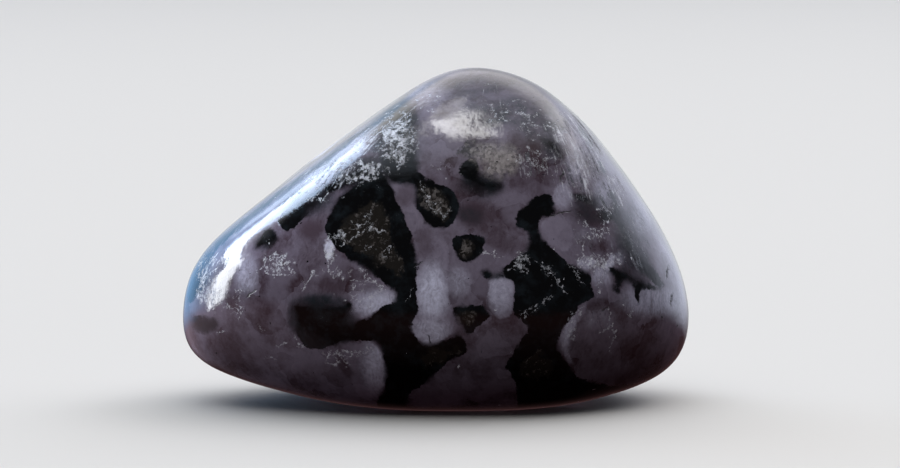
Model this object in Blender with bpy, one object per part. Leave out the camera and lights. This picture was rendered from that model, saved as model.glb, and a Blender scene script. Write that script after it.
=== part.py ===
"""A tumble-polished gabbro pebble: one solid stone, a rounded triangle seen from the front.

The stone rests on a small worn flat. +X is its length, +Y runs through it from front to back and +Z is up.
The origin is on the resting surface, under the middle of its bounding box.
"""

import math

import bmesh
import bpy
from mathutils import Vector

MM = 0.001

# Overall size of the stone.
LENGTH = 36.0 * MM
DEPTH = 23.8 * MM
HEIGHT = 23.6 * MM

# The wear starts from a point inside the stone, this far from the plan centre and above the table.
HEART_X = 1.5 * MM
HEART_Z = 10.0 * MM

# How tightly the flats meet: 2 gives a ball, a large number gives sharp edges.
EDGE_TIGHTNESS = 14

# The stone's underside is ground off by this much where it rests.
RESTING_WEAR = 0.20 * MM

# Squares along each edge of the starting cube.
SQUARES = 24

# The worn flats. Azimuth 0 faces the front, 90 the +X end, 180 the back and -90 the -X end, in degrees.
# Elevation is measured up from level, in degrees, and the distance from the heart in millimetres.
FLATS = {
    "front upper": (0, 22, 10.9),
    "front belly": (0, -14, 12.7),
    "front left upper": (-22, 17, 12.6),
    "front left lower": (-30, -24, 14.6),
    "front right upper": (34, 17, 12.9),
    "front right lower": (36, -22, 14.6),
    "front brow": (-5, 56, 11.9),
    "front underside": (0, -50, 13.2),
    "peak": (0, 85, 15.0),
    "peak right": (90, 62, 14.2),
    "left slope": (-90, 54, 11.4),
    "left slope front": (-58, 42, 13.1),
    "left end": (-90, 4, 19.3),
    "left end front": (-56, 4, 18.4),
    "left low corner": (-90, -45, 23.4),
    "left underside": (-90, -76, 11.9),
    "right slope": (90, 38, 13.1),
    "right slope front": (64, 30, 13.6),
    "right lower": (90, 18, 15.4),
    "right end": (90, -8, 18.0),
    "right end front": (60, -4, 16.4),
    "right low corner": (90, -45, 17.8),
    "right underside": (90, -76, 11.9),
    "base": (0, -90, 10.4),
    "back upper": (180, 30, 11.0),
    "back lower": (180, -20, 11.5),
    "back brow": (170, 60, 13.0),
    "back left": (-140, 20, 13.5),
    "back right": (140, 15, 13.5),
    "back underside": (180, -50, 12.2),
    "back left low corner": (-134, -38, 16.8),
    "back right low corner": (132, -38, 15.8),
}

# Shallow dents (negative) and swells left on the flats: azimuth and elevation of the middle, how far the
# dent spreads, all in degrees seen from the heart, and its depth in millimetres.
DENTS = {
    "dip beside the peak": (-24, 46, 11, -0.12),
    "hollow of the right flank": (66, 14, 13, -0.25),
    "swell under the left slope": (-34, 6, 15, 0.10),
    "swell of the belly": (14, -16, 16, 0.15),
    "saddle behind the peak": (125, 62, 15, -0.35),
    "broad hollow of the back": (168, 6, 19, -0.50),
    "worn chip, back left": (-148, 34, 13, -0.45),
    "swell, back right": (128, -4, 18, 0.35),
    "dimple of the left end": (-104, 12, 9, -0.25),
    "hollow under the back": (155, -56, 13, -0.30),
    "hollow under the left end": (-80, -60, 12, -0.20),
}

# Polished gabbro, seen as one colour: lilac-grey feldspar broken by near-black pyroxene.
STONE_COLOUR = (0.085, 0.072, 0.092, 1.0)
POLISH_ROUGHNESS = 0.18


def direction(azimuth, elevation):
    """The unit vector that points out of the stone at these angles."""
    turn = math.radians(azimuth)
    rise = math.radians(elevation)
    level = math.cos(rise)
    return Vector((math.sin(turn) * level, -math.cos(turn) * level, math.sin(rise)))


FLAT_PLANES = [(direction(azimuth, elevation), away * MM) for azimuth, elevation, away in FLATS.values()]
DENT_SPOTS = [
    (direction(azimuth, elevation), math.radians(spread), depth * MM)
    for azimuth, elevation, spread, depth in DENTS.values()
]


def even_direction(point):
    """Spreads the cube's squares evenly over a ball: the direction that a point of the cube ends up in."""
    return Vector([math.tan(side * math.pi / 4) for side in point]).normalized()


def reach(way):
    """How far the stone's skin is from its heart along a direction."""
    closeness = 0.0
    for normal, distance in FLAT_PLANES:
        facing = way.dot(normal)
        if facing > 0:
            closeness += (facing / distance) ** EDGE_TIGHTNESS
    skin = closeness ** (-1 / EDGE_TIGHTNESS)
    for middle, spread, depth in DENT_SPOTS:
        skin += depth * math.exp(-((way.angle(middle) / spread) ** 2))
    return skin


def span(points, axis):
    """The lowest and highest coordinate along an axis."""
    values = [point[axis] for point in points]
    return min(values), max(values)


def fit_to_size(vertices):
    """Brings the stone to its overall size, centred over the origin, with its resting flat at z = 0."""
    points = [vertex.co for vertex in vertices]
    for axis, size in ((0, LENGTH), (1, DEPTH)):
        low, high = span(points, axis)
        for point in points:
            point[axis] = (point[axis] - (low + high) / 2) * size / (high - low)
    low, high = span(points, 2)
    table = low + RESTING_WEAR
    for point in points:
        point.z = max(0.0, (point.z - table) * HEIGHT / (high - table))


def polished_gabbro():
    """The stone's material as one even colour with a glossy finish."""
    material = bpy.data.materials.new("polished gabbro")
    material.use_nodes = True
    shader = material.node_tree.nodes["Principled BSDF"]
    shader.inputs["Base Color"].default_value = STONE_COLOUR
    shader.inputs["Roughness"].default_value = POLISH_ROUGHNESS
    shader.inputs["Metallic"].default_value = 0.0
    return material


def stone(collection):
    """The whole stone: a cube rounded into a ball, then worn to its flats and dents."""
    shape = bmesh.new()
    bmesh.ops.create_cube(shape, size=2.0)
    bmesh.ops.subdivide_edges(shape, edges=shape.edges, cuts=SQUARES - 1, use_grid_fill=True)
    heart = Vector((HEART_X, 0.0, HEART_Z))
    for vertex in shape.verts:
        way = even_direction(vertex.co)
        vertex.co = heart + way * reach(way)
    fit_to_size(shape.verts)
    bmesh.ops.recalc_face_normals(shape, faces=shape.faces)
    mesh = bpy.data.meshes.new("stone")
    shape.to_mesh(mesh)
    shape.free()
    mesh.shade_smooth()
    mesh.materials.append(polished_gabbro())
    piece = bpy.data.objects.new("stone", mesh)
    collection.objects.link(piece)


def main():
    for leftover in list(bpy.data.objects):
        bpy.data.objects.remove(leftover)
    collection = bpy.data.collections.new("gabbro stone")
    bpy.context.scene.collection.children.link(collection)
    stone(collection)


main()
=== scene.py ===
"""A tumble-polished gabbro stone: its skin, minerals and polish, and the studio round it."""

import math
from functools import partial

import bpy
import numpy as np
from mathutils import Matrix, Vector, noise


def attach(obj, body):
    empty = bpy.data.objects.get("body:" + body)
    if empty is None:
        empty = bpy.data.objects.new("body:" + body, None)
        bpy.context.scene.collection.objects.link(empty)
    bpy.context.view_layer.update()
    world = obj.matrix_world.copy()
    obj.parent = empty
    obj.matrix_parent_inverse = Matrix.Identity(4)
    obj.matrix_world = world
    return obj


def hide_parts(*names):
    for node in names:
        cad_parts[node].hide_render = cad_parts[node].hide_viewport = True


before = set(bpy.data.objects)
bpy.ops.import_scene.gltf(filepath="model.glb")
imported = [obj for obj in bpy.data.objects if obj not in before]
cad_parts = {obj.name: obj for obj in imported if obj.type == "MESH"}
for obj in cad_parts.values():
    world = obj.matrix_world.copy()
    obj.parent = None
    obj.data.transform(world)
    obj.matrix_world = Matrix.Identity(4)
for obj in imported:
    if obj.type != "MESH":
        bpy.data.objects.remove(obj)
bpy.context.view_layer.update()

bl_info = {
    "name": "Polished gabbro stone",
    "version": (1, 0, 0),
    "blender": (4, 5, 0),
    "location": "3D View > Sidebar > Gabbro",
    "description": "Dresses the packed gabbro stone with its minerals, veins and polish",
    "category": "Object",
}

MM = 0.001
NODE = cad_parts["stone"]

# The camera, and the upright sheet through its target on which the mineral outlines are drawn.
CAMERA_TARGET = Vector((0.98, 0.0, 11.83)) * MM
CAMERA_DISTANCE = 300 * MM
CAMERA_ELEVATION = math.radians(5)
CAMERA_BACK = Vector((0, -math.cos(CAMERA_ELEVATION), math.sin(CAMERA_ELEVATION)))
CAMERA_PLACE = CAMERA_TARGET + CAMERA_BACK * CAMERA_DISTANCE
CAMERA_LENS = 169.7
CAMERA_SENSOR = 36

# The skin: a cube of 2 to this power squares along each edge, blown up round the stone's heart.
SKIN_DOUBLINGS = 7
SKIN_HEART = Vector((1.5, 0.0, 10.0)) * MM
SKIN_BALL = 30 * MM
RIPPLE_WIDTH = 3.2 * MM
# Where the peak stands, in mm, for the scouring that runs down from it.
PEAK = (3.9, 0.0)
# Widths in mm: of a feldspar crystal, of a grain of grit in the olive cores, and of the widest streak.
CRYSTAL_WIDTH, GRIT_WIDTH, STREAK_WIDTH = 1.9, 0.2, 0.9
# Blobs to a metre in the solid: those that warp its grains, those of frost, and those of smoke.
WARP_SCALE, VEIN_SCALE, CLOUD_SCALE = 300, 220, 150
# How deep the polish is carved where its relief is 1.
RELIEF = 0.025 * MM

# Outlines as (right, up) in tenths of a millimetre on the sheet. Mafic grains are the near-black ones; a few
# outlines paint shade and dark reflection near-black instead, as marked.
MAFIC_AND_SHADE_OUTLINES = {
    "great patch": [
        (-88, 1), (-87, 9), (-81, 23), (-71, 35), (-49, 48), (-41, 43), (-42, 35), (-40, 29), (-26, -4),
        (-23, -20), (-25, -40), (-23, -48), (-24, -57), (-28, -64), (-26, -72), (-21, -77), (-13, -79),
        (5, -71), (9, -73), (13, -80), (10, -85), (-4, -91), (-13, -103), (-29, -111), (-30, -126),
        (-54, -126), (-45, -105), (-47, -86), (-50, -80), (-55, -75), (-64, -75), (-82, -79), (-98, -83),
        (-103, -80), (-111, -67), (-113, -51), (-108, -47), (-75, -48), (-69, -50), (-71, -61), (-64, -61),
        (-57, -59), (-47, -51), (-41, -50), (-37, -45), (-38, -40), (-74, -16), (-80, -11),
    ],
    "ring": [
        (-42, 40), (-29, 48), (-13, 37), (-4, 34), (4, 29), (7, 21), (6, 13), (1, 6), (-7, 4), (-16, 7),
        (-21, 13), (-25, 21), (-24, 30), (-28, 35), (-41, 36),
    ],
    "small ring": [(0, -4), (4, -1), (19, 1), (25, -3), (23, -10), (21, -16), (15, -20), (8, -19), (3, -13)],
    "arrowhead": [(1, -53), (8, -50), (15, -50), (30, -54), (28, -59), (15, -71), (11, -71), (9, -65)],
    "twig": [(23, -25), (32, -29), (37, -27), (40, -30), (27, -33), (24, -30)],
    # The tail of the "right patch" along the bottom, beneath the lilac lobe, is painted shade: the dark under
    # the lobe, drawn near-black like a grain.
    "right patch": [
        (45, 11), (54, 22), (71, 32), (73, 20), (75, 16), (71, 13), (64, 11), (62, 7), (65, -4), (81, -18),
        (91, -25), (98, -27), (100, -31), (99, -36), (103, -46), (93, -48), (86, -59), (81, -64), (76, -76),
        (78, -83), (88, -100), (93, -103), (115, -108), (138, -106), (127, -115), (78, -126), (47, -126),
        (47, -109), (45, -102), (42, -96), (38, -95), (50, -74), (57, -69), (49, -58), (44, -58), (46, -38),
        (45, -33), (37, -28), (37, -25), (50, -16), (54, -9), (56, -4), (54, 1), (48, 4), (46, 6), (49, 9),
    ],
    "right band": [
        (112, -24), (117, -23), (151, -40), (143, -40), (134, -39), (134, -50), (132, -50), (130, -35),
        (125, -33), (121, -35), (120, -40), (122, -43), (118, -43), (115, -38), (117, -33),
    ],
    "left blot": [(-140, -9), (-132, 3), (-127, 4), (-122, 1), (-122, -4), (-125, -8), (-131, -11)],
    "long left blot": [
        (-121, 9), (-119, 15), (-109, 21), (-99, 27), (-93, 31), (-87, 33), (-83, 29), (-88, 22), (-102, 13),
        (-110, 4), (-116, 2), (-120, 4),
    ],
    # The "left rim" outline and the long thin one after it are painted dark reflection: the dim strip that
    # the polish mirrors along the left rim, between the edge and the bright streak, drawn near-black like a
    # grain.
    "left rim": [
        (-187, -50), (-188, -40), (-185, -30), (-180, -20), (-172, -11), (-166, -8), (-168, -16), (-173, -23),
        (-175, -31), (-173, -37), (-177, -41), (-181, -47),
    ],
    "painted dark rim strip": [
        (-172, -11), (-147, 10), (-115, 35), (-82, 60), (-57, 79), (-48, 84), (-47, 82), (-67, 68), (-97, 45),
        (-132, 18), (-158, -4), (-167, -14),
    ],
    "shoulder": [
        (-51, 86), (-44, 94), (-34, 95), (-27, 90), (-23, 81), (-25, 66), (-22, 52), (-23, 41), (-32, 36),
        (-41, 35), (-49, 40), (-52, 49), (-47, 59), (-45, 70), (-50, 78),
    ],
    "streak hem": [
        (-95, 25), (-88, 34), (-78, 42), (-68, 48), (-58, 54), (-50, 52), (-44, 44), (-45, 35), (-58, 35),
        (-69, 33), (-79, 30), (-86, 27), (-92, 22),
    ],
    "right flank": [
        (113, 30), (115, 16), (119, 2), (122, -12), (129, -22), (139, -31), (150, -40), (152, -36),
        (144, -24), (136, -13), (129, -3), (124, 10), (119, 24), (116, 31),
    ],
    "left corner": [
        (-184, -59), (-177, -58), (-167, -59), (-163, -64), (-167, -69), (-175, -71), (-180, -69),
    ],
    "under the olive cloud": [
        (8, 50), (14, 53), (20, 52), (20, 45), (24, 41), (34, 39), (39, 36), (34, 29), (24, 27), (15, 31),
        (9, 38), (6, 45),
    ],
    "ridge sliver": [(90, 76), (94, 75), (100, 66), (102, 59), (99, 60), (93, 69)],
    "ridge fleck": [(104, 53), (108, 51), (110, 43), (107, 44)],
    "ridge speck": [(74, 80), (79, 78), (81, 74), (77, 75)],
    "ridge blot": [(64, 66), (70, 68), (76, 66), (81, 54), (78, 53), (68, 60)],
    "flank smear": [(87, 30), (98, 26), (103, 22), (99, 21), (88, 25)],
    "flank ring": [(106, 16), (110, 18), (115, 16), (116, 11), (112, 8), (107, 10)],
}
# Olive pyroxene shows as brown-grey cores inside the mafic grains, and as one pale cloud near the peak.
OLIVE_OUTLINES = {
    "great core": [
        (-79, 1), (-74, 8), (-58, 23), (-50, 22), (-45, 13), (-44, 3), (-40, -10), (-33, -24), (-37, -30),
        (-45, -25), (-55, -17), (-74, -8),
    ],
    "ring core": [(-23, 35), (-17, 34), (-4, 25), (0, 20), (0, 14), (-4, 10), (-9, 11), (-18, 22)],
    "small ring core": [(6, -6), (11, -4), (17, -6), (17, -11), (14, -16), (9, -16)],
    "arrowhead core": [(6, -56), (13, -54), (21, -55), (13, -66)],
    "olive cloud": [
        (5, 58), (10, 63), (17, 65), (25, 62), (35, 63), (45, 62), (50, 55), (49, 47), (42, 40), (29, 39),
        (24, 43), (22, 51), (11, 55),
    ],
    "bottom core": [(-23, -89), (-18, -83), (0, -82), (6, -79), (8, -82), (-14, -94)],
    "right bottom core": [(47, -98), (52, -89), (60, -83), (69, -89), (75, -96), (60, -105)],
}
# The palest laths and blocks of plagioclase.
PALE_OUTLINES = {
    "long lath": [
        (-40, 35), (-35, 36), (-29, 34), (-25, 30), (-26, 22), (-15, 7), (-8, 3), (-3, -4), (0, -13),
        (-2, -24), (0, -36), (-1, -47), (4, -65), (-1, -73), (-13, -79), (-21, -76), (-26, -71), (-28, -64),
        (-24, -57), (-23, -49), (-25, -40), (-23, -20), (-26, -4), (-40, 29),
    ],
    "block": [
        (27, -33), (33, -30), (40, -30), (45, -33), (46, -40), (44, -58), (37, -60), (32, -58), (28, -51),
    ],
    "wedge tip": [
        (-69, -34), (-62, -32), (-54, -32), (-45, -35), (-38, -40), (-37, -45), (-41, -50), (-47, -51),
        (-57, -59), (-71, -61), (-69, -49), (-71, -41),
    ],
    "foot block": [
        (-71, -79), (-63, -76), (-55, -76), (-50, -81), (-47, -88), (-45, -98), (-45, -106), (-48, -113),
        (-60, -118), (-69, -110), (-68, -100), (-72, -92), (-76, -85),
    ],
    "flake": [(49, 8), (54, 11), (64, 13), (62, 8), (57, 6), (50, 6)],
    "shoulder chip": [(72, 30), (75, 34), (81, 38), (86, 35), (86, 21), (83, 16), (76, 16), (74, 20)],
    "kite": [(62, 8), (75, 13), (82, 13), (86, 8), (87, 0), (86, -8), (82, -14), (70, -7)],
    "stem": [(100, -27), (106, -23), (112, -27), (114, -33), (112, -40), (109, -45), (104, -45), (101, -40)],
    "eye": [(123, -37), (127, -35), (132, -37), (132, -42), (128, -45), (124, -42)],
    "cluster flake": [(90, -20), (95, -17), (104, -18), (101, -23), (95, -26), (93, -22)],
    "cluster shard": [(109, -23), (113, -16), (117, -15), (116, -22), (111, -29)],
    "cluster chip": [(119, -12), (124, -14), (121, -22), (118, -19)],
    "upright flake": [(-89, -6), (-85, -3), (-81, -6), (-83, -14), (-86, -21), (-88, -13)],
    "lobe edge": [
        (79, -68), (92, -51), (99, -48), (88, -65), (83, -75), (84, -85), (89, -93), (83, -92), (79, -82),
        (77, -75),
    ],
}

# Soft oval spots on the sheet: right, up, half width and half height in mm, and strength.
# Frost is where healed cracks crowd together. At the "shoulder" and "shoulder foot" spots its white crumbs
# are partly painted glints: scratches catching the light beside the highlight.
FROST_AND_GLINT_SPOTS = {
    "left cluster": (-12.2, -2.1, 1.7, 1.2, 0.8), "bright upright": (-8.5, -1.2, 0.6, 1.4, 1.0),
    "beside the upright": (-7.8, -0.1, 0.8, 0.6, 0.8), "wedge top": (-7.0, -2.8, 2.4, 0.9, 0.5),
    "wedge edge": (-5.6, -4.2, 1.4, 0.9, 0.6), "great core": (-5.8, 0.8, 1.6, 1.1, 0.6),
    "great core foot": (-4.9, -1.4, 0.8, 0.7, 0.4), "ring core": (-0.9, 1.9, 0.8, 1.1, 0.45),
    "small ring core": (1.1, -1.2, 0.5, 0.5, 0.6), "shoulder": (-3.7, 6.7, 1.9, 3.0, 0.9),
    "streak hem": (-6.4, 4.5, 3.0, 1.2, 0.8), "blot heart": (-12.9, -0.3, 0.5, 0.5, 0.8),
    "long blot top": (-9.6, 2.9, 2.4, 0.9, 0.6), "under the peak": (3.6, 8.7, 3.4, 1.2, 0.6),
    "peak right": (6.0, 7.8, 1.8, 1.6, 0.6), "peak left": (-1.6, 9.6, 1.6, 1.4, 0.5),
    "olive cloud": (3.4, 5.2, 1.6, 1.2, 0.3), "lilac strokes": (6.0, 5.2, 1.9, 1.6, 0.7),
    "ridge top": (7.8, 7.4, 1.4, 1.8, 0.5), "ridge": (9.4, 4.7, 1.5, 2.6, 0.6),
    "kite edge": (8.9, 0.3, 0.8, 1.5, 0.6), "above the cluster": (10.3, -0.2, 1.3, 0.6, 0.65),
    "right patch top": (5.0, -1.9, 1.1, 0.9, 0.75), "right patch side": (7.0, -2.6, 0.7, 1.7, 0.55),
    "right patch heart": (5.6, -5.3, 1.6, 0.8, 0.3), "right cluster": (10.2, -2.0, 1.7, 0.8, 1.0),
    "right cluster top": (11.5, -1.8, 0.9, 0.8, 0.8), "foot vein": (-6.9, -8.4, 2.0, 0.4, 0.9),
    "left end": (-15.6, -5.0, 1.4, 1.4, 0.5), "streak foot": (-17.4, -4.2, 1.0, 1.2, 0.8),
    "lobe rim": (8.6, -6.6, 0.5, 1.6, 0.8), "left rim": (-17.3, -2.6, 1.0, 2.4, 0.7),
    "right flank": (13.0, -0.6, 1.2, 2.6, 0.25), "shoulder foot": (-3.8, 5.8, 1.4, 1.3, 1.0),
    "beside the olive cloud": (-0.2, 4.8, 1.5, 1.3, 0.4),
}
# Brushed spots are scoured along the slope, so their polish is streaky.
BRUSHED_SPOTS = {
    "streak": (-8.4, 4.6, 4.6, 2.4, 0.6), "under the peak": (3.6, 8.8, 3.6, 1.3, 0.45),
    "peak left": (-2.0, 9.4, 2.4, 1.6, 0.5), "peak right": (6.2, 8.0, 2.0, 2.0, 0.5),
    "lilac strokes": (6.0, 4.9, 2.1, 1.8, 1.0), "ridge": (9.0, 5.4, 2.2, 3.8, 1.8),
    "right shoulder": (13.0, -0.3, 1.8, 3.8, 0.7), "left rim": (-17.2, -2.6, 1.4, 2.6, 0.8),
    "right cluster": (10.6, -0.9, 1.8, 1.4, 0.65), "top patch": (1.2, 7.9, 2.6, 1.2, 0.45),
    "peak": (2.0, 10.4, 4.0, 1.0, 0.5), "shoulder": (-3.6, 6.9, 2.0, 3.0, 0.6),
    "streak middle": (-8.6, 4.2, 2.6, 1.6, 1.0), "streak top": (-6.0, 6.6, 1.8, 2.0, 1.0),
    "streak foot": (-17.0, -4.4, 1.5, 1.3, 1.0), "ridge foot": (11.4, 2.8, 1.4, 1.8, 1.3),
}
# Smoke is a thin grey-green veil of mafic grains that shows through the feldspar, and softens their borders.
SMOKE_SPOTS = {
    "shoulder": (-4.0, 7.2, 2.2, 3.4, 1.0), "streak hem": (-6.4, 4.4, 3.2, 1.4, 0.7),
    "under the peak": (4.0, 8.7, 3.8, 1.5, 0.85), "peak right": (6.4, 8.0, 2.2, 1.8, 0.8),
    "left patch top": (-9.3, -4.8, 2.2, 0.7, 0.9), "left patch side": (-10.9, -6.0, 0.8, 1.2, 0.6),
    "left patch tip": (-7.4, -6.2, 1.1, 1.2, 0.7), "right shoulder": (10.1, 1.8, 1.7, 1.5, 0.6),
    "right flank": (12.9, -0.4, 1.5, 3.4, 0.8), "ridge blot": (7.3, 6.2, 1.2, 1.3, 0.6),
    # The "left rim" spot greys the same painted dark reflection strip along the left rim.
    "left rim": (-17.5, -2.5, 0.9, 2.5, 0.6), "long blot": (-10.0, 2.3, 2.4, 1.2, 0.7),
    "peak top": (2.5, 10.4, 4.5, 1.3, 0.55), "beside the ring": (1.5, 1.3, 1.0, 0.8, 0.7),
    "under the cloud": (2.2, 3.4, 1.8, 1.1, 0.75), "peak left": (-4.6, 8.4, 1.4, 0.8, 0.6),
    "left corner": (-17.3, -6.4, 1.2, 0.7, 0.4), "left blot": (-13.1, -0.3, 1.2, 1.1, 0.2),
}
# Grit is where a core shows pale grains.
GRIT_SPOTS = {
    "ring core": (-1.2, 2.3, 1.5, 1.7, 0.32), "small ring core": (1.1, -1.1, 0.8, 0.8, 0.3),
    "arrowhead core": (1.3, -5.9, 0.9, 0.9, 0.2), "olive cloud": (3.3, 5.2, 2.5, 1.9, 1.0),
    "great core": (-5.8, 0.3, 2.4, 2.2, 0.05),
}
# Rosy clouds are browner feldspar. The three spots at the foot are painted shade instead: they make the lower
# front darker and browner, where it turns from the light.
ROSY_AND_SHADE_SPOTS = {
    "beside the olive cloud": (0.6, 4.6, 1.3, 1.0, 0.3), "beside the ring": (1.6, 1.4, 1.3, 1.1, 1.0),
    "above the small ring": (2.9, 0.9, 1.4, 1.2, 0.6), "beside the small ring": (3.4, -0.6, 1.2, 0.9, 0.5),
    "under the ridge": (5.6, 4.1, 1.9, 1.3, 0.6), "lath neck": (-1.9, -0.7, 1.0, 1.5, 0.55),
    "right shoulder": (10.1, 1.7, 1.5, 1.2, 0.9), "under the cluster": (10.3, -0.9, 0.9, 0.5, 0.3),
    "left of the great patch": (-9.8, 0.3, 1.1, 0.9, 0.9), "shade at the left foot": (-14.0, -8.3, 3.2, 2.0, 0.4),
    "shade at the foot edge": (-9.2, -10.0, 2.6, 1.3, 0.5), "shade at the lobe foot": (12.7, -9.2, 3.6, 2.4, 0.35),
    "above the wedge": (-8.2, -3.5, 1.4, 0.8, 0.7), "under the peak": (3.0, 10.0, 4.0, 1.0, 0.3),
    "lath top": (-3.2, 2.7, 0.9, 1.0, 0.7), "lilac strokes": (6.0, 5.6, 1.6, 1.6, 0.7),
}
# Inside the pale outlines these spots are the clearest.
LATH_SPOTS = {
    "wedge tip": (-5.0, -5.0, 1.9, 1.1, 0.95), "lath heart": (-1.3, -4.2, 1.3, 2.3, 1.0),
    "lath foot": (-1.4, -6.9, 1.6, 1.2, 0.85), "block": (3.3, -3.9, 1.4, 2.2, 0.55),
    "shoulder chip": (8.0, 2.8, 1.0, 1.2, 0.3), "foot block": (-5.2, -9.2, 1.1, 2.2, 0.8),
    "lobe rim": (8.5, -7.2, 0.8, 2.0, 0.6), "cluster": (10.4, -2.0, 2.4, 1.6, 0.6),
    "upright flake": (-8.5, -1.1, 1.2, 1.8, 1.0), "flake": (5.6, 0.9, 1.0, 0.6, 0.4),
}
# Elsewhere moon spots are clear, bluish white feldspar. The "ridge top", "ridge", "ridge foot", "right strip"
# and "right strip foot" spots are painted reflection: the pale sheen of the surroundings down the right ridge
# and along the right rim.
MOON_AND_SHEEN_SPOTS = {
    "beside the lath": (0.6, -3.4, 0.9, 1.2, 0.4), "right foot": (14.2, -4.7, 2.2, 1.2, 0.6),
    "left slope": (-14.4, -2.9, 0.9, 1.6, 0.5), "right strip": (13.6, 1.3, 0.8, 1.8, 0.35),
    "right strip foot": (15.3, -2.0, 0.8, 2.0, 0.15), "kite foot": (9.7, -0.2, 1.0, 0.7, 0.15),
    "lobe crown": (10.6, -6.0, 1.2, 0.9, 0.2), "ridge top": (7.3, 6.9, 1.0, 2.0, 0.2),
    "ridge": (8.9, 4.9, 0.8, 1.6, 0.3), "ridge foot": (10.8, 2.8, 0.8, 1.2, 0.4),
    "left of the peak": (-1.6, 9.8, 1.6, 1.2, 0.2), "wedge foot": (-5.4, -5.2, 1.1, 0.6, 0.6),
}
# Healed cracks that run alone, and dark scratches and pits, as (right, up) in tenths of a millimetre.
WHITE_CRACKS = [
    [(-86, 0), (-83, -9), (-86, -16), (-87, -28)], [(-84, -3), (-79, 0), (-74, -4), (-78, -8)],
    [(-136, -27), (-132, -25), (-127, -28), (-121, -29), (-113, -28), (-115, -20)],
    [(-105, -39), (-100, -33), (-96, -28), (-88, -28), (-81, -28), (-79, -24)],
    [(-70, -32), (-63, -33), (-59, -28), (-55, -34), (-48, -37), (-47, -40)], [(-70, -42), (-65, -36)],
    [(-61, -45), (-53, -45), (-57, -49), (-64, -51), (-69, -55)], [(-74, -47), (-69, -45), (-64, -50)],
    [(-72, -4), (-66, 0), (-59, 4), (-52, 2), (-47, 0)], [(-69, 8), (-64, 6), (-59, 7), (-59, 12)],
    [(-59, -10), (-54, -11)], [(-48, -13), (-44, -10), (-47, -16)],
    [(-89, -86), (-81, -86), (-72, -85), (-64, -83), (-55, -81)],
    [(-86, -90), (-82, -93), (-79, -90), (-81, -87)], [(-76, -91), (-70, -93)],
    [(-157, -53), (-153, -51), (-151, -49)], [(-151, -57), (-148, -55), (-149, -60)],
    [(-151, -42), (-144, -40)], [(-136, -66), (-133, -69)], [(-122, -79), (-116, -77)],
    [(-129, -87), (-124, -88)], [(-164, -70), (-159, -70)], [(-110, -73), (-107, -78), (-103, -81)],
    [(41, -26), (49, -23), (53, -28)], [(46, -16), (52, -16)], [(62, -19), (71, -28), (78, -35), (82, -42)],
    [(84, -22), (88, -28), (93, -36)], [(50, -57), (60, -51), (72, -45)], [(52, -55), (53, -60)],
    [(90, -21), (95, -18), (100, -21), (102, -26)], [(109, -23), (113, -16), (112, -26)],
    [(114, -19), (121, -16), (122, -20)], [(95, -1), (103, 0), (112, 1)],
    [(109, -28), (105, -36), (105, -44)], [(90, -19), (94, -17), (97, -21), (101, -18), (105, -21)],
    [(93, -24), (98, -22), (102, -26)], [(110, -26), (113, -20), (117, -14)],
    [(120, -12), (123, -16), (121, -22)], [(104, 15), (108, 18), (113, 16), (112, 11), (108, 8), (105, 11)],
    [(112, -53), (114, -63), (115, -74), (114, -83)], [(106, -70), (112, -66)], [(127, -58), (132, -52)],
    [(94, -52), (91, -57), (84, -66), (81, -71), (81, -82)], [(23, -14), (30, -13), (37, -16)],
    [(-21, 37), (-18, 30), (-13, 18), (-4, 12), (-1, 18)], [(95, 8), (100, 2), (112, 4)],
    [(94, -5), (93, -13), (95, -17)], [(-27, -39), (-30, -47)],
]
DARK_SCRATCHES = [
    [(71, 13), (78, 15), (85, 16)], [(80, 44), (78, 38)], [(-143, -44), (-138, -40)],
    [(-25, -23), (-20, -20)], [(154, -23), (153, -31)], [(157, -43), (156, -50)], [(-15, -72), (-14, -77)],
    [(112, -51), (108, -54)],
]

# Rectangular lights round the stone: centre and two half sides in mm, radiance, colour, and whether
# the polish mirrors it.
STONE_LIGHTS = {
    "near window": ((-203, 30, 48), (0, -31, 12), (11, 22, 56), 13.0, "#F4FAFF", True),
    "far window": ((-161, 91, 101), (-21, -45, -5), (4, -3, 11), 17.0, "#E6F2FF", True),
    "high window": ((-122, 98, 143), (-11, -55, 32), (26, 8, 22), 8.5, "#C4DEFF", True),
    "back window": ((-89, 175, 100), (-20, -10, 0), (5, -8, 20), 2.0, "#DCEBFF", True),
    "ceiling light": ((-22, 17, 230), (14, 0, 0), (0, 17, 0), 9.5, "#FFFFFF", True),
    "ceiling middle": ((-19, -12, 230), (16, 0, 0), (0, 12, 0), 9.5, "#FFFFFF", True),
    "ceiling front": ((-11, -33, 230), (12, -4, 0), (2.6, 7.8, 0), 9.5, "#FFFFFF", True),
    "ceiling strip": ((-3, -50, 230), (5, 0, 0), (0, 9, 0), 8.0, "#FFFFFF", True),
    "ceiling back": ((-22, 59, 230), (9, 0, 0), (0, 25, 0), 2.4, "#FFFFFF", True),
    "front fill": ((-60, -190, 260), (90, 0, 0), (0, 60, 60), 6.0, "#FFFFFF", False),
}
FLOOR_LIGHT = ((0, 0, 900), (900, 0, 0), (0, 900, 0))
FLOOR_WIDTH = 6

# What is stored at each point of the skin for the polish to show.
MARKS = ("mafic", "olive", "pale", "frost", "brushed", "smoke", "rosy", "grit", "moon", "clear")
MARKS += ("crack", "crack-there", "scratch", "scratch-there")
# How far each mineral's border wanders, the mark that softens it and by how much, and its softness elsewhere.
BORDERS = {
    "mafic": (4.0, "smoke", 0.8, 0.04),
    "pale": (4.0, "smoke", 0.2, 0.12),
    "olive": (9.0, "grit", 0.5, 0.1),
}
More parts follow.
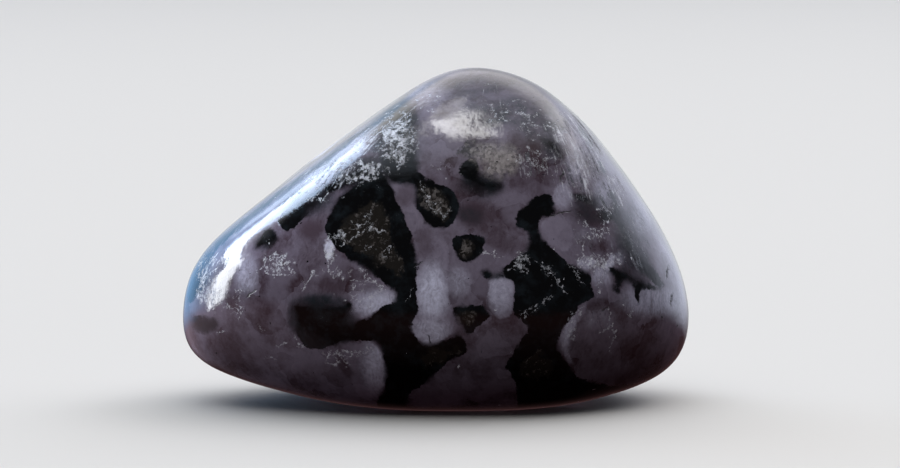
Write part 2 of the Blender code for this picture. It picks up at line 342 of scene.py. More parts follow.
# Noises in the stone: the width of a blob in mm, the detail and the roughness.
NOISES = {
    "wander": (0.9, 7.0, 0.7), "slope": (1.6, 1.0, 0.5), "clouds": (2.6, 5.0, 0.6),
    "mottle": (0.4, 6.0, 0.75), "dust": (1.1, 7.0, 0.7), "broken": (0.5, 6.0, 0.8), "beads": (0.2, 3.0, 0.7),
    "gaps": (0.6, 2.0, 0.5), "curl": (0.7, 6.0, 0.72), "flakes": (0.3, 6.0, 0.85), "patches": (1.1, 2.0, 0.5),
    "clearness": (0.35, 2.0, 0.5), "breaks": (0.55, 5.0, 0.7), "crumb": (0.3, 3.0, 0.5),
    "haze": (0.35, 5.0, 0.7), "matt": (0.3, 5.0, 0.75), "swell": (1.3, 3.0, 0.5),
}
# Places bent by a noise, as those above, and how far they are bent in mm.
BENDS = {
    "crystals": (1.8, 4.0, 0.5, 2.2),
    "jagged": (0.7, 6.0, 0.72, 1.8),
    "shaken": (0.25, 3.0, 0.5, 0.5),
}
# Settings that many nodes share. A plain Math node adds.
COLOURS = {"out": 2, "data_type": "RGBA"}
TIMES = {"operation": "MULTIPLY"}
TIMES_PLUS = {"operation": "MULTIPLY_ADD"}
MINUS = {"operation": "SUBTRACT"}
LARGER = {"operation": "MAXIMUM"}
SMOOTHLY = {"interpolation_type": "SMOOTHSTEP"}


def linear(hex_colour):
    """An sRGB hex colour as a linear RGBA tuple."""
    channels = [int(hex_colour[i : i + 2], 16) / 255 for i in (1, 3, 5)]
    return (*(c / 12.92 if c <= 0.04045 else ((c + 0.055) / 1.055) ** 2.4 for c in channels), 1.0)


def colour(name, description, hex_colour):
    """A colour that a user may change."""
    return bpy.props.FloatVectorProperty(
        name=name, description=description, default=linear(hex_colour), subtype="COLOR", size=4, min=0, max=1
    )


def length(name, description, default_mm):
    """A length that a user may change, kept in metres."""
    return bpy.props.FloatProperty(
        name=name, description=description, default=default_mm * MM, min=0, precision=5, unit="LENGTH"
    )


class GabbroColours(bpy.types.PropertyGroup):
    """Colours of the minerals, some of which also paint shade, glints and reflection."""

    lilac: colour("Plagioclase", "Main lilac-grey feldspar", "#5E5663")
    # Also the tint of the painted shade at the stone's foot.
    rosy: colour("Rosy plagioclase", "Browner clouds in the feldspar", "#33232A")
    pale: colour("Pale plagioclase", "Clearest laths and blocks", "#787181")
    # Also the black of the painted shade under the right lobe, of the painted dark reflection strip along the
    # left rim, and of the painted shade of small pits.
    mafic: colour("Mafic grains", "Near-black amphibole", "#050506")
    olive: colour("Olive pyroxene", "Brown-grey cores", "#1F1C19")
    olive_speck: colour("Olive specks", "Pale grains in the cores", "#8C8685")
    # Also the white of painted glints at the shoulder, beside the highlight.
    frost: colour("Frost", "Whitish healed cracks", "#C4C6CF")
    # Also the grey-green over the painted dark reflection strip along the left rim.
    smoke: colour("Smoke", "Grey-green veil of thin mafic grains", "#1F262B")
    # Also the tint of the painted reflection down the right ridge and along the right rim.
    moon: colour("Moonlit plagioclase", "Clearest bluish feldspar", "#C9CAE0")


class GabbroSizes(bpy.types.PropertyGroup):
    """Sizes of the grains, veins and polish marks."""

    grain: length("Grain", "Mean width of a mineral grain", 5.0)
    ragged: length("Ragged border", "How far a grain's border wanders", 0.24)
    frost_cell: length("Frost mesh", "Width of one mesh of the healed cracks", 0.55)
    hairline: length("Hairline", "Width of a drawn hairline crack", 0.09)
    ripple: length("Ripple", "Height of the faint waves left by tumbling", 0.05)


class StudioSettings(bpy.types.PropertyGroup):
    """Colours and strengths of the studio."""

    floor: colour("Floor", "Plain pale floor", "#D9D6D1")
    floor_light: bpy.props.FloatProperty(
        name="Floor light", description="Radiance of the soft light on the floor", default=0.68, min=0
    )


def add_node(tree, kind, sockets=(), out=0, **settings):
    """Adds one node to a material or world, and returns the output that is wanted of it.

    Its sockets are given in order, or by name or number. Each is a plain value or the output that feeds it.
    A MapRange takes its value, the range that it comes from and the range that it goes to."""
    node = tree.nodes.new("ShaderNode" + kind)
    for name, value in settings.items():
        setattr(node, name, value)
    for name, value in sockets.items() if isinstance(sockets, dict) else enumerate(sockets):
        if isinstance(value, bpy.types.NodeSocket):
            tree.links.new(value, node.inputs[name])
        else:
            node.inputs[name].default_value = value
    return node.outputs[out] if node.outputs else None


def vectors(mesh, collection, key):
    """The points or normals of a mesh as an array of rows."""
    rows = np.empty(len(mesh.vertices) * 3, np.float32)
    getattr(mesh, collection).foreach_get(key, rows)
    return rows.reshape(-1, 3).astype(float)


def move_points(mesh, points):
    """Puts each point of the mesh at its row of the array."""
    mesh.vertices.foreach_set("co", points.astype(np.float32).ravel())
    mesh.update()


def smoothstep(value, low, high):
    """0 below low, 1 above high, and an even curve between them."""
    share = np.clip((value - low) / (high - low), 0, 1)
    return share * share * (3 - 2 * share)


def use_modifier(piece, kind, **settings):
    """Adds a modifier to the active piece, sets it and applies it."""
    modifier = piece.modifiers.new(kind.title(), kind)
    for name, value in settings.items():
        setattr(modifier, name, value)
    bpy.ops.object.modifier_apply(modifier=modifier.name)


def worn_form():
    """A merged copy of the CAD stone, rounded by subdivision, for the skin to lie on."""
    form = NODE.copy()
    form.data = NODE.data.copy()
    form.name = "worn-form"
    form.parent = None
    bpy.context.scene.collection.objects.link(form)
    form.select_set(True)
    bpy.context.view_layer.objects.active = form
    bpy.ops.object.mode_set(mode="EDIT")
    bpy.ops.mesh.select_all(action="SELECT")
    bpy.ops.mesh.remove_doubles(threshold=0.001 * MM)
    bpy.ops.mesh.tris_convert_to_quads()
    bpy.ops.object.mode_set(mode="OBJECT")
    rounding = form.modifiers.new("Rounding", "SUBSURF")
    rounding.levels = 2
    rounding.render_levels = 2
    return form


def polished_skin(sizes):
    """The stone's skin: an even ball of squares drawn onto the worn form, then rippled by tumbling."""
    bpy.ops.object.select_all(action="DESELECT")
    form = worn_form()
    bpy.ops.object.select_all(action="DESELECT")
    bpy.ops.mesh.primitive_cube_add(size=2, location=SKIN_HEART)
    skin = bpy.context.active_object
    skin.name = "polished-skin"
    bpy.ops.object.mode_set(mode="EDIT")
    for _ in range(SKIN_DOUBLINGS):
        bpy.ops.mesh.subdivide(number_cuts=1)
    bpy.ops.object.mode_set(mode="OBJECT")
    # The tangent spaces the squares evenly round the ball, where a plain cube crowds its corners.
    even = np.tan(vectors(skin.data, "vertices", "co") * math.pi / 4)
    even *= SKIN_BALL / np.linalg.norm(even, axis=1, keepdims=True)
    move_points(skin.data, even)
    inward = {"use_positive_direction": False, "use_negative_direction": True}
    use_modifier(skin, "SHRINKWRAP", target=form, wrap_method="PROJECT", **inward)
    use_modifier(skin, "SMOOTH", factor=0.5, iterations=12)
    bpy.ops.object.transform_apply(location=True, rotation=True, scale=True)
    bpy.data.objects.remove(form)
    ripples = bpy.data.textures.new("tumbling-ripples", "CLOUDS")
    ripples.noise_scale = RIPPLE_WIDTH
    ripples.noise_depth = 1
    use_modifier(skin, "DISPLACE", texture=ripples, strength=sizes.ripple, mid_level=0.5)
    # No ripple sinks into the table.
    move_points(skin.data, np.maximum(vectors(skin.data, "vertices", "co"), (-np.inf, -np.inf, 0)))
    bpy.ops.object.shade_smooth()
    return skin


def laid_on_sheet(points):
    """Where the line of sight through each point meets the upright sheet, as (right, up) in mm."""
    right = np.array((1.0, 0.0, 0.0))
    up = np.array(CAMERA_BACK.cross(Vector((1, 0, 0))))
    sight = points - np.array(CAMERA_PLACE)
    spread = CAMERA_DISTANCE / MM / (sight @ -np.array(CAMERA_BACK))
    return sight @ right * spread, sight @ up * spread


def facing(points, normals):
    """How squarely each point faces the camera, from 1 to -1."""
    sight = np.array(CAMERA_PLACE) - points
    sight /= np.linalg.norm(sight, axis=1, keepdims=True)
    return (sight * normals).sum(axis=1)


def cut_corners(outline):
    """The outline in mm, with each corner cut once, which rounds it."""
    ends = np.array(outline) / 10
    after = np.roll(ends, -1, axis=0)
    return np.stack([0.75 * ends + 0.25 * after, 0.25 * ends + 0.75 * after], axis=1).reshape(-1, 2)


def depth_inside(across, upward, outline):
    """How deep each sheet point lies inside a closed outline, in mm, and negative outside it."""
    ends = cut_corners(outline)
    nearest = np.full(across.shape, np.inf)
    inside = np.zeros(across.shape, bool)
    for (x0, y0), (x1, y1) in zip(ends, np.roll(ends, -1, axis=0)):
        run, rise = x1 - x0, y1 - y0
        along = np.clip(((across - x0) * run + (upward - y0) * rise) / (run * run + rise * rise), 0, 1)
        nearest = np.minimum(nearest, np.hypot(across - x0 - along * run, upward - y0 - along * rise))
        crossed = (y0 > upward) != (y1 > upward)
        inside ^= crossed & (across < x0 + (upward - y0) * run / (rise or 1.0))
    return np.where(inside, nearest, -nearest)


def deepest(across, upward, outlines):
    """The greatest depth inside any of the outlines."""
    return np.max([depth_inside(across, upward, outline) for outline in outlines.values()], axis=0)


def grain_field(points, sizes):
    """Depth inside mafic and pale grains away from the drawn face, from a seeded packing of grains."""
    size = sizes.grain / MM
    rng = np.random.default_rng(7)
    low = points.min(axis=0) / MM - size
    high = points.max(axis=0) / MM + size
    steps = [np.arange(low[i], high[i], size * (1.35 if i == 2 else 1.0)) for i in range(3)]
    seeds = np.stack(np.meshgrid(*steps, indexing="ij"), axis=-1).reshape(-1, 3)
    seeds += rng.uniform(-0.45, 0.45, seeds.shape) * size
    kinds = rng.choice(["mafic", "pale", "lilac"], len(seeds), p=[0.38, 0.14, 0.48])
    # Left alone, Blender seeds this noise from the clock.
    noise.seed_set(7)
    warp = np.array([noise.turbulence_vector(Vector(p) * WARP_SCALE, 3, False) for p in points])
    places = points / MM + warp * size * 0.32
    near = {kind: np.full(len(points), np.inf) for kind in ("mafic", "pale", "lilac")}
    for seed, kind in zip(seeds, kinds):
        near[kind] = np.minimum(near[kind], np.linalg.norm(places - seed, axis=1))
    mafic = (np.minimum(near["pale"], near["lilac"]) - near["mafic"]) / 2
    pale = (np.minimum(near["mafic"], near["lilac"]) - near["pale"]) / 2
    return mafic, pale


def spots(across, upward, places):
    """How strongly each sheet point lies in any of the soft oval spots."""
    strength = np.zeros(across.shape)
    for right, up, half_width, half_height, strong in places.values():
        away = np.hypot((across - right) / half_width, (upward - up) / half_height)
        strength = np.maximum(strength, strong * (1 - smoothstep(away, 0.35, 1.25)))
    return strength


def beside_lines(across, upward, lines):
    """Signed distance to the nearest line in mm, and how much of a line there is to show there."""
    nearest = np.full(across.shape, np.inf)
    signed = np.zeros(across.shape)
    beyond_end = np.zeros(across.shape)
    for line in lines:
        line = np.array(line) / 10
        last = len(line) - 2
        for index, ((x0, y0), (x1, y1)) in enumerate(zip(line, line[1:])):
            run, rise = x1 - x0, y1 - y0
            size = math.hypot(run, rise)
            along = ((across - x0) * run + (upward - y0) * rise) / size
            side = ((across - x0) * rise - (upward - y0) * run) / size
            past = np.maximum(along - size, -along)
            away = np.hypot(side, np.maximum(past, 0))
            closer = away < nearest
            nearest = np.where(closer, away, nearest)
            signed = np.where(closer, side, signed)
            end_side = np.where(along < 0, index == 0, index == last)
            beyond_end = np.where(closer, np.maximum(past, 0) * end_side, beyond_end)
    there = (1 - smoothstep(nearest, 0.3, 0.55)) * (1 - smoothstep(beyond_end, 0, 0.15))
    return signed, there


def down_slope(points):
    """The points unrolled round the peak in mm, with the way down the slope shrunk.

    A noise read here makes streaks that run down the slope."""
    flat = points[:, :2] / MM - PEAK
    reach = np.maximum(np.linalg.norm(flat, axis=1, keepdims=True), 3.0)
    return np.hstack([flat / reach * 10, points[:, 2:] / MM * 0.15])


def lay_minerals(skin, sizes):
    """Stores how deep each point lies in each mineral, and how cracked it is, for the polish to show."""
    mesh = skin.data
    points = vectors(mesh, "vertices", "co")
    normals = vectors(mesh, "vertex_normals", "vector")
    across, upward = laid_on_sheet(points)
    drawn = smoothstep(facing(points, normals), 0.02, 0.16)
    mafic_field, pale_field = grain_field(points, sizes)
    veined = np.array([noise.fractal(Vector(p) * VEIN_SCALE, 1.0, 2.0, 3) for p in points])
    cloudy = np.array([noise.fractal(Vector(p) * CLOUD_SCALE, 1.0, 2.0, 2) for p in points])
    high = smoothstep(points[:, 2] / MM, 13, 20)
    # Each layer is drawn on the face, and grown in the solid everywhere else.
    layers = {
        # The mafic layer also paints shade: the dark reflection strip along the left rim and the dark under
        # the right lobe.
        "mafic": (deepest(across, upward, MAFIC_AND_SHADE_OUTLINES), mafic_field),
        "olive": (deepest(across, upward, OLIVE_OUTLINES), mafic_field - 1.1),
        "pale": (deepest(across, upward, PALE_OUTLINES), pale_field),
        # The frost layer also carries painted glints at the shoulder.
        "frost": (spots(across, upward, FROST_AND_GLINT_SPOTS), smoothstep(veined, 0.1, 0.7)),
        "brushed": (spots(across, upward, BRUSHED_SPOTS), 0.6 * high),
        "smoke": (spots(across, upward, SMOKE_SPOTS), smoothstep(cloudy, 0.3, 0.9)),
        # The rosy layer also carries painted shade at the foot.
        "rosy": (spots(across, upward, ROSY_AND_SHADE_SPOTS), smoothstep(-cloudy, 0.1, 0.6)),
        "grit": (spots(across, upward, GRIT_SPOTS), 0.4),
        # The moon layer also carries painted reflection on the right ridge and rim.
        "moon": (spots(across, upward, MOON_AND_SHEEN_SPOTS), 0.0),
        "clear": (spots(across, upward, LATH_SPOTS), smoothstep(pale_field, 0.2, 1.0)),
    }
    stored = {name: drawn * face + (1 - drawn) * solid for name, (face, solid) in layers.items()}
    for name, lines in (("crack", WHITE_CRACKS), ("scratch", DARK_SCRATCHES)):
        stored[name], there = beside_lines(across, upward, lines)
        stored[name + "-there"] = there * drawn
    for name in MARKS:
        layer = mesh.attributes.new(name, "FLOAT", "POINT")
        layer.data.foreach_set("value", stored[name].astype(np.float32))
    layer = mesh.attributes.new("down-slope", "FLOAT_VECTOR", "POINT")
    layer.data.foreach_set("vector", down_slope(points).astype(np.float32).ravel())


def stone_patterns(add):
    """All that the minerals are drawn from: the place in mm, straight and bent, the marks and the noises."""
    place = add("TexCoord", out="Object")
    place = add("Mapping", {"Vector": place, "Scale": (1 / MM, 1 / MM, 1 / MM)})
    pattern = {name: add("Attribute", out="Fac", attribute_name=name) for name in MARKS}
    for name, (width, detail, rough) in NOISES.items():
        sockets = {"Vector": place, "Scale": 1 / width, "Detail": detail, "Roughness": rough}
        pattern[name] = add("TexNoise", sockets)
    for name, (width, detail, rough, reach) in BENDS.items():
        sockets = {"Vector": place, "Scale": 1 / width, "Detail": detail, "Roughness": rough}
        bend = add("TexNoise", sockets, out="Color")
        pattern[name] = add("VectorMath", (bend, (reach,) * 3, place), **TIMES_PLUS)
    return pattern | {"place": place}


def grain_masks(add, pattern, sizes):
    """How much of each mineral shows, with borders that wander and are soft where the stone is smoky."""
    wander = add("Math", (pattern["wander"], 0.5), **MINUS)
    # Here and there a border slopes away under the polish, which blurs it.
    sloping = add("MapRange", (pattern["slope"], 0.48, 0.7, 0, 0.3))
    masks = {}
    for name, (ragged, softening, share, crisp) in BORDERS.items():
        reach = ragged * sizes.ragged / MM
        edge = add("Math", (wander, reach, pattern[name]), **TIMES_PLUS)
        soft = add("Math", (pattern[softening], share, crisp), **TIMES_PLUS)
        soft = add("Math", (soft, sloping))
        hard = add("Math", (soft, -1.0), **TIMES)
        masks[name] = add("MapRange", (edge, hard, soft), **SMOOTHLY)
    return masks


def feldspar_colour(add, pattern, masks, colours):
    """Lilac feldspar: soft clouds, crystals with crisp borders, a fine mottle, rosy and moon spots. The rosy
    spots also paint shade at the foot, and the moon spots painted reflection on the right ridge and rim.
    """
    mottle, rosy, crystals = pattern["mottle"], pattern["rosy"], pattern["crystals"]
    crystal = add("TexVoronoi", {"Vector": crystals, "Scale": 1 / CRYSTAL_WIDTH}, out="Color")
    tone = add("SeparateColor", (crystal,), out="Red")
    # Cleavage shows as faint upright bands inside the crystals.
    squeezed = add("Mapping", {"Vector": crystals, "Scale": (5.0, 5.0, 0.5)})
    bands = add("TexNoise", {"Vector": squeezed, "Scale": 1.0, "Detail": 2.0})
    cleaved = add("Math", (bands, tone), **TIMES)
    cloudy = add("MapRange", (pattern["clouds"], 0.36, 0.62), **SMOOTHLY)
    rosier = add("Math", (cloudy, rosy), **MINUS, use_clamp=True)
    rosier = add("Math", (tone, 0.25, rosier), **TIMES_PLUS, use_clamp=True)
    clear = add("Math", (1.0, rosy), **MINUS, use_clamp=True)
    light = add("Math", (cleaved, mottle))
    lit = add("MapRange", (light, 0.5, 1.1))
    little = add("Math", (lit, 0.45), **TIMES)
    little = add("Math", (little, clear), **TIMES)
    pale = add("MapRange", (lit, 0, 1, 0.45, 0.95))
    pale = add("Math", (masks["pale"], pale), **TIMES)
    pale = add("Math", (pale, clear), **TIMES)
    inside = add("Math", (pattern["clear"], masks["pale"]), **TIMES)
    moon = add("Math", (pattern["moon"], inside), **LARGER)
    grained = add("Math", (bands, mottle))
    glow = add("MapRange", (grained, 0.75, 1.25, 0.4))
    moon_and_sheen_share = add("Math", (moon, glow), **TIMES)
    feldspar = add("Mix", {0: rosier, 6: colours.rosy, 7: colours.lilac}, **COLOURS)
    # The moon tint is partly clear feldspar and partly painted reflection on the right ridge and rim.
    for share, tint in ((little, colours.pale), (pale, colours.pale), (moon_and_sheen_share, colours.moon)):
        feldspar = add("Mix", {0: share, 6: feldspar, 7: tint}, **COLOURS)
    return feldspar


def lone_specks(add, pattern, apart, rare, size):
    """Specks of uneven size and outline, one to a cell of the given width in mm, and none in most cells."""
    cells = {"Vector": pattern["shaken"], "Scale": 1 / apart}
    middle = add("TexVoronoi", cells, out="Distance")
    chosen = add("TexVoronoi", cells, out="Color")
    chosen = add("SeparateColor", (chosen,), out="Blue")
    reach = add("Math", (chosen, rare), **MINUS)
    reach = add("Math", (reach, size), **TIMES)
    return add("Math", (middle, reach), operation="LESS_THAN")


def dark_grain_colour(add, pattern, masks, feldspar, colours):
    """Black mafic grains with a dusty bloom, brown-grey cores of packed grit, and near-black specks as
    painted shade of small pits. The mafic mask also paints shade under the right lobe and a dark reflection
    strip along the left rim.
    """
    dusty = add("MapRange", (pattern["dust"], 0.48, 0.85))
    black = add("Mix", {0: dusty, 6: colours.mafic, 7: colours.smoke}, **COLOURS)
    # The grit is drawn at a fifth of a millimetre, coarser than it is, so that it shows.
    packed = add("TexVoronoi", {"Vector": pattern["place"], "Scale": 1 / GRIT_WIDTH}, out="Color")
    speck = add("SeparateColor", (packed,), out="Green")
    crumbs = add("Math", (speck, 0.35, pattern["broken"]), **TIMES_PLUS)
    wanted = add("MapRange", (pattern["grit"], 0, 1, 1.0, 0.5))
    above = add("Math", (crumbs, wanted), **MINUS)
    pale_grit = add("MapRange", (above, -0.2, 0.3))
    cores = add("Mix", {0: pale_grit, 6: colours.olive, 7: colours.olive_speck}, **COLOURS)
    veil = add("MapRange", (pattern["dust"], 0.4, 0.6, 0.4))
    veil = add("Math", (pattern["smoke"], veil), **TIMES)
    most = add("Math", (masks["olive"], 0.9), **TIMES)
    # Small pits are shown only by painted shade: near-black specks, with no dent carved.
    pit_shade = lone_specks(add, pattern, 0.85, 0.6, 0.32)
    grains = feldspar
    for share, layer in ((veil, colours.smoke), (masks["mafic"], black), (most, cores), (pit_shade, colours.mafic)):
        grains = add("Mix", {0: share, 6: grains, 7: layer}, **COLOURS)
    return grains


def crumbled_line(add, pattern, name, wobble, width):
    """How much of a drawn line shows: it wobbles off its course and its width comes and goes."""
    offset = add("Math", (pattern[name], wobble))
    offset = add("Math", (offset,), operation="ABSOLUTE")
    line = add("MapRange", (offset, width, 0.0))
    return add("Math", (line, pattern[name + "-there"]), **TIMES)


def crumbled_cracks(add, pattern, sizes):
    """How white each point is with healed cracks: jagged strings of crumbs that break and cross."""
    gaps, curl, frost = pattern["gaps"], pattern["curl"], pattern["frost"]
    beads = add("MapRange", (pattern["beads"], 0.45, 0.64))
    # More of the mesh survives where the frost is strong.
    threshold = add("MapRange", (frost, 0, 1, 0.78, 0.38))
    kept = add("Math", (gaps, threshold), **MINUS)
    kept = add("MapRange", (kept, 0, 0.06))
    level = add("Math", (curl, 0.5), **MINUS)
    level = add("Math", (level,), operation="ABSOLUTE")
    width = add("Math", (beads, 0.02), **TIMES)
    strings = add("MapRange", (level, width, 0.0))
    width = add("Math", (beads, 0.09), **TIMES)
    for scale in (1.3, 0.6):
        cells = {"Vector": pattern["jagged"], "Scale": MM / (sizes.frost_cell * scale)}
        distance = add("TexVoronoi", cells, out="Distance", feature="DISTANCE_TO_EDGE")
        wall = add("MapRange", (distance, width, 0.0))
        strings = add("Math", (strings, wall), **LARGER)
    white = add("Math", (strings, kept), **TIMES)
    # Strong frost also has loose crumbs between the strings.
    flake = add("Math", (pattern["patches"], 0.5, pattern["flakes"]), **TIMES_PLUS)
    wanted = add("MapRange", (frost, 0, 1, 1.02, 0.75))
    loose = add("Math", (flake, wanted), **MINUS)
    loose = add("MapRange", (loose, 0, 0.05))
    white = add("Math", (white, loose), **LARGER)
    sway = add("Math", (gaps, 0.7, -1.15), **TIMES_PLUS)
    wobble = add("Math", (curl, 1.6, sway), **TIMES_PLUS)
    width = add("Math", (beads, 1.4 * sizes.hairline / MM), **TIMES)
    line = crumbled_line(add, pattern, "crack", wobble, width)
    white = add("Math", (white, line), **LARGER)
    # Some crumbs are clearer than others, and a few stand alone.
    clear = add("MapRange", (pattern["clearness"], 0.36, 0.6, 0.4))
    white = add("Math", (white, clear), **TIMES)
    alone = lone_specks(add, pattern, 1.0, 0.8, 0.4)
    return add("Math", (white, alone), **LARGER)


def scouring(add, pattern):
    """How much each point is whitened, and how much darkened, by streaks that run down the slope."""
    unrolled = add("Attribute", out="Vector", attribute_name="down-slope")
    # Real scouring is finer: it is drawn from a millimetre wide down, so that it shows.
    streaks = {"Vector": unrolled, "Scale": 1 / STREAK_WIDTH, "Detail": 6.0, "Roughness": 0.85}
    streaks = add("TexNoise", streaks)
    kept = add("MapRange", (pattern["breaks"], 0.42, 0.54))
    sides = []
    for idle, full, past_full in ((0.7, 0.52, 0.08), (0.3, 0.46, -0.05)):
        threshold = add("MapRange", (pattern["brushed"], 0, 1, idle, full))
        past = add("Math", (streaks, threshold), **MINUS)
        streaked = add("MapRange", (past, 0, past_full))
        sides.append(add("Math", (streaked, kept), **TIMES))
    return sides


def tumble_polished_gabbro(colours, sizes):
    """Gabbro, rumbled in ever finer grit: a wet-looking gloss over lilac feldspar and black grains."""
    material = bpy.data.materials.new("tumble-polished gabbro")
    material.use_nodes = True
    tree = material.node_tree
    tree.nodes.clear()
    add = partial(add_node, tree)
    pattern = stone_patterns(add)
    masks = grain_masks(add, pattern, sizes)
    feldspar = feldspar_colour(add, pattern, masks, colours)
    finished = dark_grain_colour(add, pattern, masks, feldspar, colours)
    wobble = add("Math", (pattern["crumb"], 0.4, -0.2), **TIMES_PLUS)
    scratch = crumbled_line(add, pattern, "scratch", wobble, sizes.hairline / MM)
    scoured, gouged = scouring(add, pattern)
    white = crumbled_cracks(add, pattern, sizes)
    for mark, share, tint in (
        (scratch, 1.0, colours.mafic),
        (gouged, 0.75, colours.smoke),
        (scoured, 0.75, colours.frost),
        (white, 0.95, colours.frost),
    ):
        shown = add("Math", (mark, share), **TIMES)
        finished = add("Mix", {0: shown, 6: finished, 7: tint}, **COLOURS)
    # The polish is duller where the stone is frosted, and each white crumb is rough.
    haze, brushed = pattern["haze"], pattern["brushed"]
    duller = add("Math", (pattern["frost"], haze), **TIMES)
    duller = add("Math", (duller, 0.25), **TIMES)
    duller = add("Math", (duller, white), **LARGER)
    # Scoured ground also has matt specks, which break up the highlights. Where the scouring is strongest,
    # the gouges are deep and dull.
    matt = add("MapRange", (pattern["matt"], 0.54, 0.64, 0, 0.6))
    carved = add("Math", (gouged, brushed), **TIMES)
    for mark, share in ((scoured, 0.4), (brushed, matt), (carved, 0.8)):
        duller = add("Math", (mark, share, duller), **TIMES_PLUS)
    duller = add("Math", (duller, scratch), **LARGER)
    roughness = add("Math", (duller, 0.5, 0.08), **TIMES_PLUS, use_clamp=True)
    # Swells and haze raise the surface. Black grains, cracks, scouring and scratches sink it.
    relief = 0.0
    for mark, height in (
        (pattern["swell"], 1.6),
        (masks["mafic"], -0.25),
        (haze, 0.35),
        (white, -0.8),
        (scoured, -0.5),
        (carved, -1.6),
        (scratch, -1.5),
    ):
        relief = add("Math", (mark, height, relief), **TIMES_PLUS)
    normal = add("Bump", {"Height": relief, "Strength": 0.6, "Distance": RELIEF})
    gloss = {"Base Color": finished, "Roughness": roughness, "IOR": 1.55, "Normal": normal}
    add("OutputMaterial", {"Surface": add("BsdfPrincipled", gloss)})
    return material


class GABBRO_OT_stone(bpy.types.Operator):
    """Makes the polished skin of the stone, with its minerals"""

    bl_idname = "gabbro.stone"
    bl_label = "Polished stone"

    def execute(self, context):
        sizes = context.scene.gabbro_sizes
        skin = polished_skin(sizes)
        lay_minerals(skin, sizes)
        skin.data.materials.append(tumble_polished_gabbro(context.scene.gabbro_colours, sizes))
        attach(skin, "root")
        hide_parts("stone")
        return {"FINISHED"}


def soft_light(name, centre, half_across, half_along, radiance, tint, mirrored, lit):
    """A rectangular light that faces the stone and lights only what is in its collection."""
    across, along = Vector(half_across) * MM, Vector(half_along) * MM
    light = bpy.data.lights.new(name, "AREA")
    light.shape = "RECTANGLE"
    light.size = 2 * across.length
    light.size_y = 2 * along.length
    light.color = linear(tint)[:3]
    light.energy = radiance * math.pi * light.size * light.size_y
    lamp = bpy.data.objects.new(name, light)
    bpy.context.scene.collection.objects.link(lamp)
    away = across.cross(along).normalized()
    if away.dot(Vector(centre)) < 0:
        away, along = -away, -along
    turn = Matrix((across.normalized(), along.normalized(), away)).transposed()
    lamp.matrix_world = Matrix.Translation(Vector(centre) * MM) @ turn.to_4x4()
    lamp.visible_glossy = mirrored
    lamp.light_linking.receiver_collection = lit


def studio_air(studio):
    """Surroundings: pale to the eye, and to the stone a dim room, a white sky behind it and a warm table."""
    world = bpy.data.worlds.new("studio air")
    world.use_nodes = True
    tree = world.node_tree
    tree.nodes.clear()
    add = partial(add_node, tree)
    direction = add("TexCoord", out="Generated")
    right, back, up = (add("SeparateXYZ", (direction,), out=axis) for axis in "XYZ")
    aside = add("Math", (right,), operation="ABSOLUTE")
    ramps = {
        "straight": (aside, 0.45, 0.12),
        "straight up": (aside, 0.5, 0.32),
        "handed": (right, -0.2, 0.2),
        "higher": (up, 0.38, 0.57),
        "overhead": (up, 0.78, 0.9),
        "far left": (right, -0.25, -0.6),
        "beside": (back, -0.55, -0.2),
        "deep": (up, -0.3, -0.85),
    }
    share = {}
    for name, (axis, start, full) in ramps.items():
        share[name] = add("MapRange", (axis, start, full))
    # The sky is brightest to either side of straight behind, and bluer on the left.
    low = {0: share["handed"], 6: (0.52, 0.98, 1.65, 1), 7: (1.2, 1.28, 1.55, 1)}
    low = add("Mix", low, **COLOURS)
    low = add("Mix", {0: share["straight"], 6: low, 7: (0.72, 0.75, 0.77, 1)}, **COLOURS)
    high = {0: share["straight up"], 6: (3.2, 3.2, 3.4, 1), 7: (1.8, 1.8, 1.8, 1)}
    high = add("Mix", high, **COLOURS)
    sky = add("Mix", {0: share["higher"], 6: low, 7: high}, **COLOURS)
    # High up it reaches further round on the right.
    lean = add("MapRange", (right, -0.3, 0.8, -0.1, 0.4))
    leaned = add("Math", (share["higher"], lean, back), **TIMES_PLUS)
    behind = add("MapRange", (leaned, 0.06, 0.68), **SMOOTHLY)
    room = add("Mix", {0: behind, 6: (0.035, 0.035, 0.04, 1), 7: sky}, **COLOURS)
    # Overhead the room is dim on the right of the ceiling light.
    ceiling = {0: share["handed"], 6: (0.75, 0.85, 1.0, 1), 7: (0.55, 0.55, 0.55, 1)}
    ceiling = add("Mix", ceiling, **COLOURS)
    room = add("Mix", {0: share["overhead"], 6: room, 7: ceiling}, **COLOURS)
    # Only the far left of the table is lit.
    lit = add("Math", (share["far left"], share["beside"]), **TIMES)
    near = add("Mix", {0: lit, 6: (0.08, 0.038, 0.038, 1), 7: (0.6, 0.45, 0.54, 1)}, **COLOURS)
    table = add("Mix", {0: share["deep"], 6: near, 7: (0.003, 0.001, 0.001, 1)}, **COLOURS)
    below = add("MapRange", (up, -0.02, -0.18), **SMOOTHLY)
    around = add("Mix", {0: below, 6: room, 7: table}, **COLOURS)
    felt = add("Background", {"Color": around})
    seen = add("Background", {"Color": studio.floor})
    eye = add("LightPath", out="Is Camera Ray")
    add("OutputWorld", {"Surface": add("MixShader", (eye, felt, seen))})
    return world


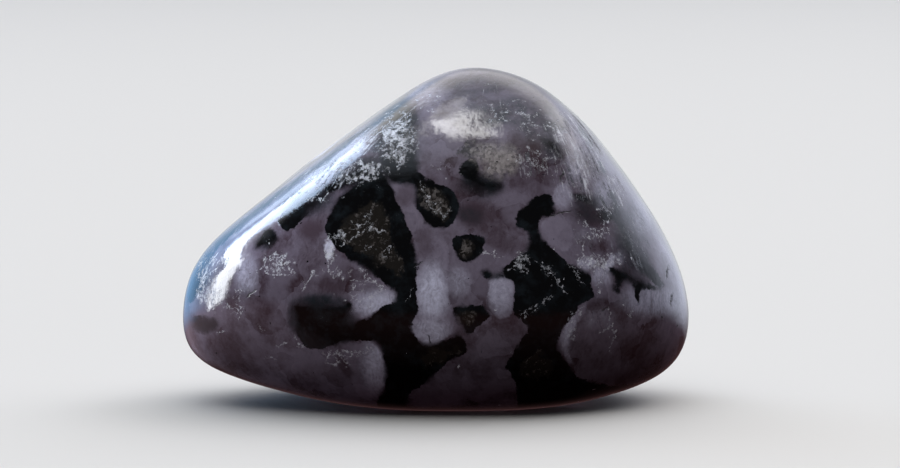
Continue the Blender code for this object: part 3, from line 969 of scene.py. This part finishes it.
class GABBRO_OT_studio(bpy.types.Operator):
    """Makes the floor, the soft lights, the pale surroundings and the camera"""

    bl_idname = "gabbro.studio"
    bl_label = "Studio"

    def execute(self, context):
        studio = context.scene.gabbro_studio
        bpy.ops.object.select_all(action="DESELECT")
        bpy.ops.mesh.primitive_plane_add(size=FLOOR_WIDTH)
        floor = context.active_object
        floor.name = "studio-floor"
        floor.visible_glossy = False
        floor.visible_diffuse = False
        # Uncoated paper: flat, pale and free of highlights.
        paper = bpy.data.materials.new("matt paper sweep")
        paper.use_nodes = True
        shader = paper.node_tree.nodes["Principled BSDF"]
        shader.inputs["Base Color"].default_value = studio.floor
        shader.inputs["Roughness"].default_value = 0.9
        floor.data.materials.append(paper)

        stone_only = bpy.data.collections.new("lit-stone")
        stone_only.objects.link(bpy.data.objects["polished-skin"])
        floor_only = bpy.data.collections.new("lit-floor")
        floor_only.objects.link(floor)
        for name, light in STONE_LIGHTS.items():
            soft_light(name, *light, stone_only)
        soft_light("floor light", *FLOOR_LIGHT, studio.floor_light, "#FFFFFF", True, floor_only)
        context.scene.world = studio_air(studio)

        view = bpy.data.cameras.new("studio-camera")
        view.lens = CAMERA_LENS
        view.sensor_width = CAMERA_SENSOR
        view.clip_start = 0.01
        view.clip_end = 20
        camera = bpy.data.objects.new("studio-camera", view)
        context.scene.collection.objects.link(camera)
        camera.location = CAMERA_PLACE
        camera.rotation_euler = (-CAMERA_BACK).to_track_quat("-Z", "Y").to_euler()
        context.scene.camera = camera
        context.scene.view_settings.view_transform = "Standard"
        return {"FINISHED"}


class GABBRO_PT_panel(bpy.types.Panel):
    """Lists the stone, the studio and what may be changed"""

    bl_label = "Gabbro stone"
    bl_space_type = "VIEW_3D"
    bl_region_type = "UI"
    bl_category = "Gabbro"

    def draw(self, context):
        for group in ("gabbro_colours", "gabbro_sizes", "gabbro_studio"):
            settings = getattr(context.scene, group)
            for name in settings.__annotations__:
                self.layout.prop(settings, name)
        self.layout.operator(GABBRO_OT_stone.bl_idname)
        self.layout.operator(GABBRO_OT_studio.bl_idname)


CLASSES = (GabbroColours, GabbroSizes, StudioSettings, GABBRO_OT_stone, GABBRO_OT_studio, GABBRO_PT_panel)


def register():
    for cls in CLASSES:
        bpy.utils.register_class(cls)
    bpy.types.Scene.gabbro_colours = bpy.props.PointerProperty(type=GabbroColours)
    bpy.types.Scene.gabbro_sizes = bpy.props.PointerProperty(type=GabbroSizes)
    bpy.types.Scene.gabbro_studio = bpy.props.PointerProperty(type=StudioSettings)


def unregister():
    del bpy.types.Scene.gabbro_studio
    del bpy.types.Scene.gabbro_sizes
    del bpy.types.Scene.gabbro_colours
    for cls in reversed(CLASSES):
        bpy.utils.unregister_class(cls)


def main():
    """Builds the stone and its studio."""
    register()
    bpy.ops.gabbro.stone()
    bpy.ops.gabbro.studio()


if __name__ == "__main__":
    main()
